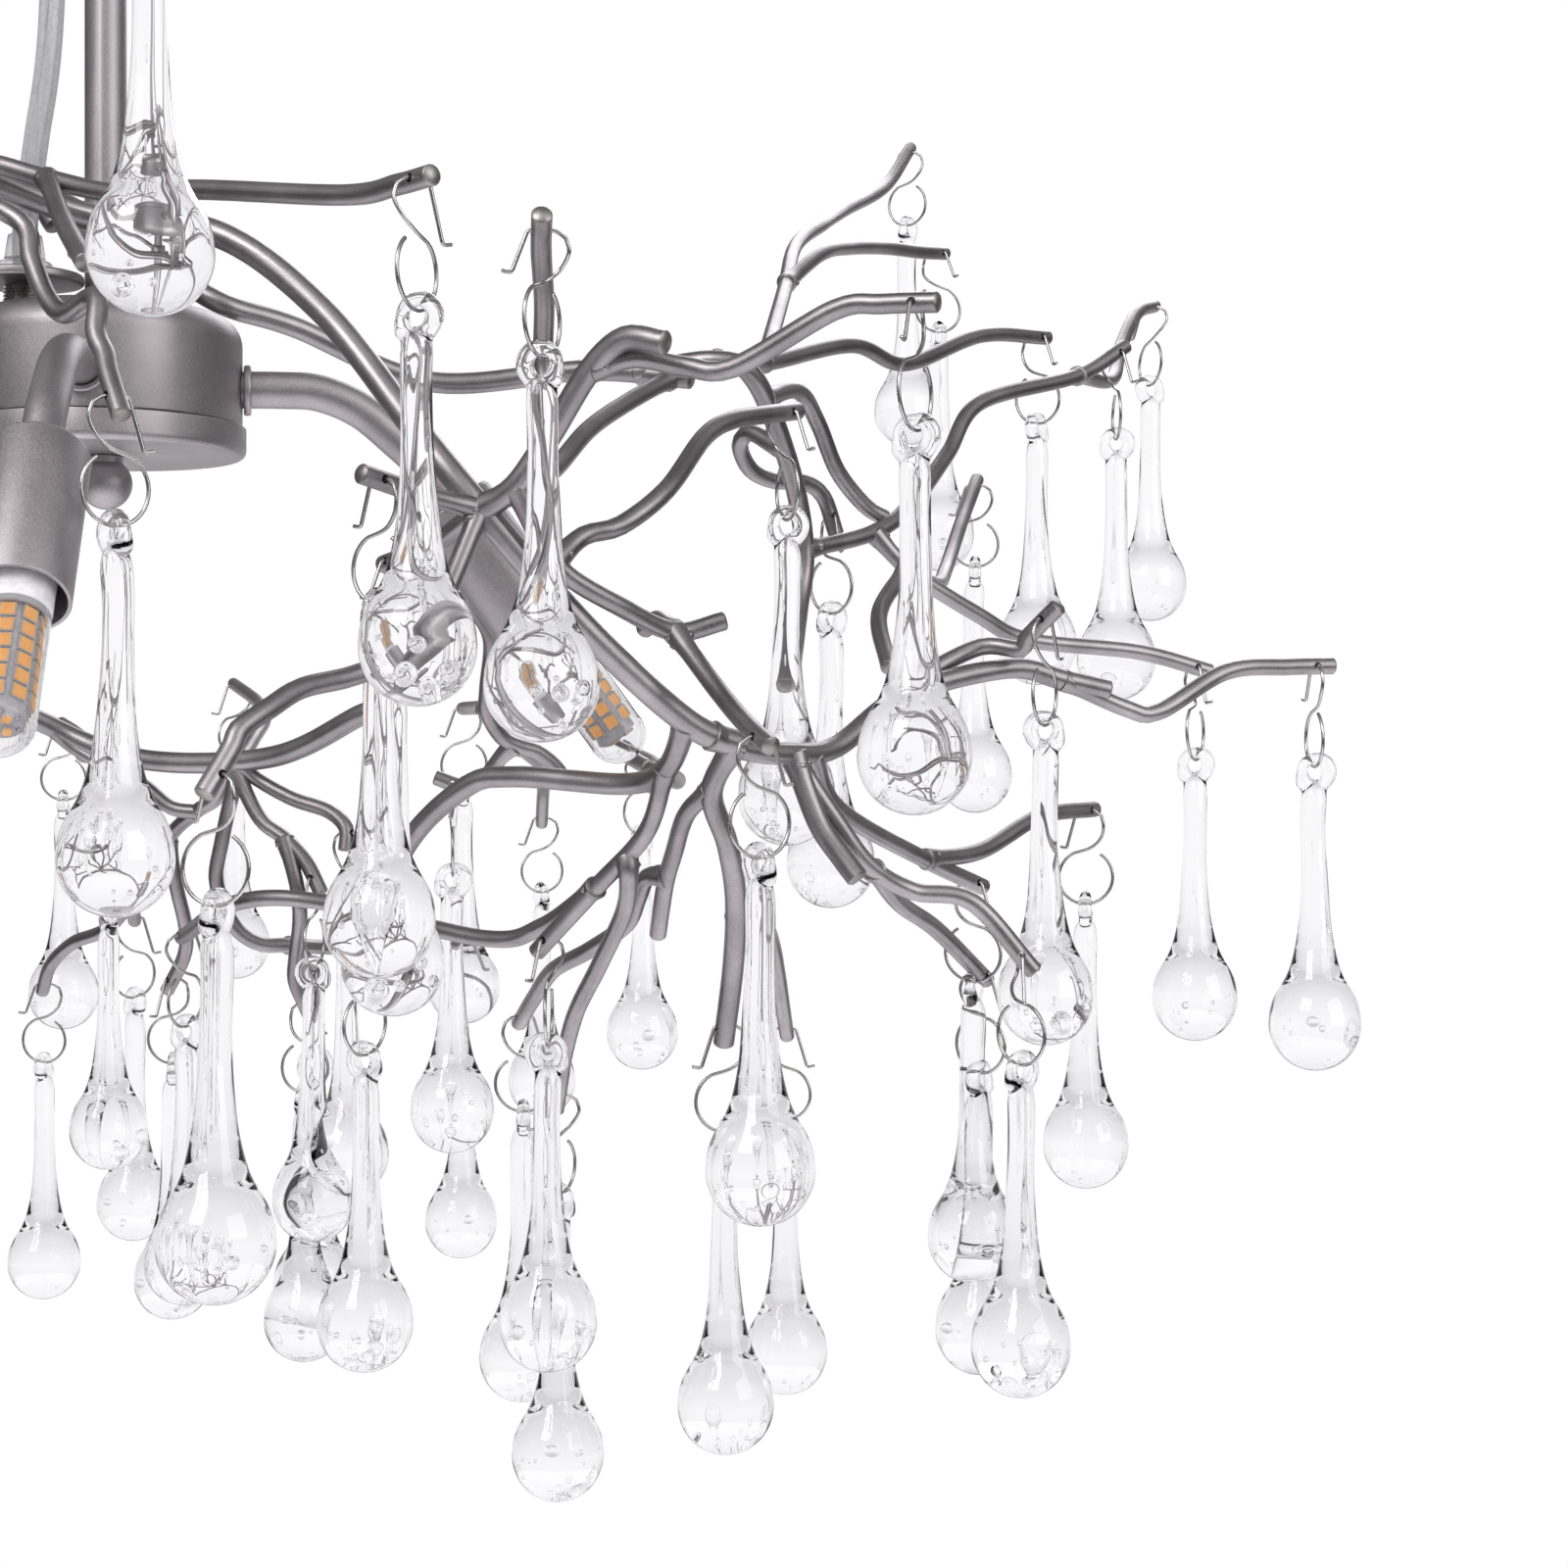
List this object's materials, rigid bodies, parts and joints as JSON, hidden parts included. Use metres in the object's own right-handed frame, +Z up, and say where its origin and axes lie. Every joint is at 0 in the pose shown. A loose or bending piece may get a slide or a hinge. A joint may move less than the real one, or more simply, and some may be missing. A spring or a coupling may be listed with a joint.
{
  "type": "branch chandelier",
  "caption": "Ceiling chandelier: a round hub on a rod with tilted capsule lamps, welded twig boughs and clear glass drops on swinging wire hooks.",
  "frame": {"origin": "middle of the ceiling bracket, on the face that meets the ceiling", "axes": "+Z up to the ceiling; the rod hangs down -Z and the right bough reaches out along +X"},
  "size_m": [0.6801, 0.7879, 0.6394],
  "materials": {
    "pewter": "satin pewter-nickel lacquer with a fine metallic grain",
    "dark_nut": "dark satin",
    "steel_wire": "bright drawn steel",
    "clear_glass": "clear hand-made glass with small bubbles",
    "clear_gland": "clear moulded plastic",
    "clear_cable": "clear sheath over stranded cores",
    "ceramic": "glazed white ceramic",
    "lamp_capsule": "clear capsule around an LED board"
  },
  "bodies": {
    "root": {"ceiling_bracket": "pewter", "canopy": "pewter", "hanging_rod": "pewter", "bough_collar": "pewter", "hub_cup": "pewter", "hub_lid": "pewter", "finial": "pewter", "gland_disc": "pewter", "bough_right_trunk": "pewter", "bough_right_back": "pewter", "bough_right_front": "pewter", "bough_right_far": "pewter", "bough_right_low": "pewter", "bough_low_left": "pewter", "bough_low_down": "pewter", "bough_front_twigs": "pewter", "bough_back": "pewter", "bough_left_trunk": "pewter", "bough_left_back": "pewter", "bough_left_low": "pewter", "rod_cross_pin": "steel_wire", "gland_nipple": "steel_wire", "terminal_block": "ceramic", "cable_gland": "clear_gland", "supply_cable": "clear_cable", "lamp_arm_right": "pewter", "arm_collar_right": "dark_nut", "lamp_sleeve_right": "pewter", "lamp_socket_right": "ceramic", "lamp_arm_front": "pewter", "arm_collar_front": "dark_nut", "lamp_sleeve_front": "pewter", "lamp_socket_front": "ceramic", "lamp_arm_left": "pewter", "arm_collar_left": "dark_nut", "lamp_sleeve_left": "pewter", "lamp_socket_left": "ceramic"},
    "bulb_right": {"led_bulb_right": "lamp_capsule"},
    "bulb_front": {"led_bulb_front": "lamp_capsule"},
    "bulb_left": {"led_bulb_left": "lamp_capsule"},
    "hook_01": {"hook_01": "steel_wire"},
    "drop_01": {"glass_drop_01": "clear_glass"},
    "hook_02": {"hook_02": "steel_wire"},
    "drop_02": {"glass_drop_02": "clear_glass"},
    "hook_03": {"hook_03": "steel_wire"},
    "drop_03": {"glass_drop_03": "clear_glass"},
    "hook_04": {"hook_04": "steel_wire"},
    "drop_04": {"glass_drop_04": "clear_glass"},
    "hook_05": {"hook_05": "steel_wire"},
    "drop_05": {"glass_drop_05": "clear_glass"},
    "hook_06": {"hook_06": "steel_wire"},
    "drop_06": {"glass_drop_06": "clear_glass"},
    "hook_07": {"hook_07": "steel_wire"},
    "drop_07": {"glass_drop_07": "clear_glass"},
    "hook_08": {"hook_08": "steel_wire"},
    "drop_08": {"glass_drop_08": "clear_glass"},
    "hook_09": {"hook_09": "steel_wire"},
    "drop_09": {"glass_drop_09": "clear_glass"},
    "hook_10": {"hook_10": "steel_wire"},
    "drop_10": {"glass_drop_10": "clear_glass"}
  },
  "joints": [
    {"name": "bulb_right_pull", "type": "slide", "parent": "root", "child": "bulb_right", "axis": [0.577, 0.1122, -0.809], "range_m": [0, 0.009]},
    {"name": "bulb_front_pull", "type": "slide", "parent": "root", "child": "bulb_front", "axis": [0.0512, -0.5855, -0.809], "range_m": [0, 0.012]},
    {"name": "bulb_left_pull", "type": "slide", "parent": "root", "child": "bulb_left", "axis": [-0.4694, 0.3537, -0.809], "range_m": [0, 0.012]},
    {"name": "hook_01_swing", "type": "hinge", "parent": "root", "child": "hook_01", "pos_m": [0.04788, -0.15012, -0.20946], "axis": [-0.4899, -0.8718, 0], "range_deg": [-20, 20]},
    {"name": "drop_01_swing", "type": "hinge", "parent": "hook_01", "child": "drop_01", "pos_m": [0.04788, -0.15012, -0.23916], "axis": [-0.4899, -0.8718, 0], "range_deg": [-15, 15]},
    {"name": "hook_02_swing", "type": "hinge", "parent": "root", "child": "hook_02", "pos_m": [0.09897, -0.11056, -0.29095], "axis": [-0.7402, -0.6723, 0], "range_deg": [-5, 8]},
    {"name": "drop_02_swing", "type": "hinge", "parent": "hook_02", "child": "drop_02", "pos_m": [0.09897, -0.11056, -0.32065], "axis": [-0.3706, -0.9288, 0], "range_deg": [-4, 6]},
    {"name": "hook_03_swing", "type": "hinge", "parent": "root", "child": "hook_03", "pos_m": [0.12545, -0.09274, -0.29883], "axis": [-0.9945, -0.1043, 0], "range_deg": [-10, 3]},
    {"name": "drop_03_swing", "type": "hinge", "parent": "hook_03", "child": "drop_03", "pos_m": [0.12545, -0.09274, -0.32853], "axis": [-0.3748, -0.9271, 0], "range_deg": [-10, 2]},
    {"name": "hook_04_swing", "type": "hinge", "parent": "root", "child": "hook_04", "pos_m": [0.02871, -0.10321, -0.33912], "axis": [-0.8, -0.6, 0], "range_deg": [-3, 1]},
    {"name": "drop_04_swing", "type": "hinge", "parent": "hook_04", "child": "drop_04", "pos_m": [0.02871, -0.10321, -0.36882], "axis": [-0.7209, -0.693, 0], "range_deg": [-3, 0.8]},
    {"name": "hook_05_swing", "type": "hinge", "parent": "root", "child": "hook_05", "pos_m": [0.21246, -0.09271, -0.31575], "axis": [-0.3826, -0.9239, 0], "range_deg": [-8, 20]},
    {"name": "drop_05_swing", "type": "hinge", "parent": "hook_05", "child": "drop_05", "pos_m": [0.21246, -0.09271, -0.34545], "axis": [-0.4617, -0.8871, 0], "range_deg": [-7, 15]},
    {"name": "hook_06_swing", "type": "hinge", "parent": "root", "child": "hook_06", "pos_m": [0.11529, 0.07108, -0.51985], "axis": [0.9473, 0.3203, 0], "range_deg": [-16, 8]},
    {"name": "drop_06_swing", "type": "hinge", "parent": "hook_06", "child": "drop_06", "pos_m": [0.11529, 0.07108, -0.54955], "axis": [0.4744, 0.8803, 0], "range_deg": [-8, 5]},
    {"name": "hook_07_swing", "type": "hinge", "parent": "root", "child": "hook_07", "pos_m": [0.05387, -0.11327, -0.42576], "axis": [-0.7691, 0.6391, 0], "range_deg": [-20, 9]},
    {"name": "drop_07_swing", "type": "hinge", "parent": "hook_07", "child": "drop_07", "pos_m": [0.05387, -0.11327, -0.45546], "axis": [-0.9577, 0.2878, 0], "range_deg": [-15, 8]},
    {"name": "hook_08_swing", "type": "hinge", "parent": "root", "child": "hook_08", "pos_m": [0.17621, -0.06334, -0.41644], "axis": [-0.858, -0.5136, 0], "range_deg": [-20, 20]},
    {"name": "drop_08_swing", "type": "hinge", "parent": "hook_08", "child": "drop_08", "pos_m": [0.17621, -0.06334, -0.44614], "axis": [-0.83, -0.5578, 0], "range_deg": [-15, 15]},
    {"name": "hook_09_swing", "type": "hinge", "parent": "root", "child": "hook_09", "pos_m": [0.25533, 0.0328, -0.38184], "axis": [-0.6074, -0.7944, 0], "range_deg": [-6, 20]},
    {"name": "drop_09_swing", "type": "hinge", "parent": "hook_09", "child": "drop_09", "pos_m": [0.25533, 0.0328, -0.41154], "axis": [-0.4447, -0.8957, 0], "range_deg": [-5, 15]},
    {"name": "hook_10_swing", "type": "hinge", "parent": "root", "child": "hook_10", "pos_m": [0.33909, 0.073, -0.39317], "axis": [0.1668, -0.986, 0], "range_deg": [-20, 20]},
    {"name": "drop_10_swing", "type": "hinge", "parent": "hook_10", "child": "drop_10", "pos_m": [0.33909, 0.073, -0.42287], "axis": [0.1323, -0.9912, 0], "range_deg": [-15, 15]}
  ]
}
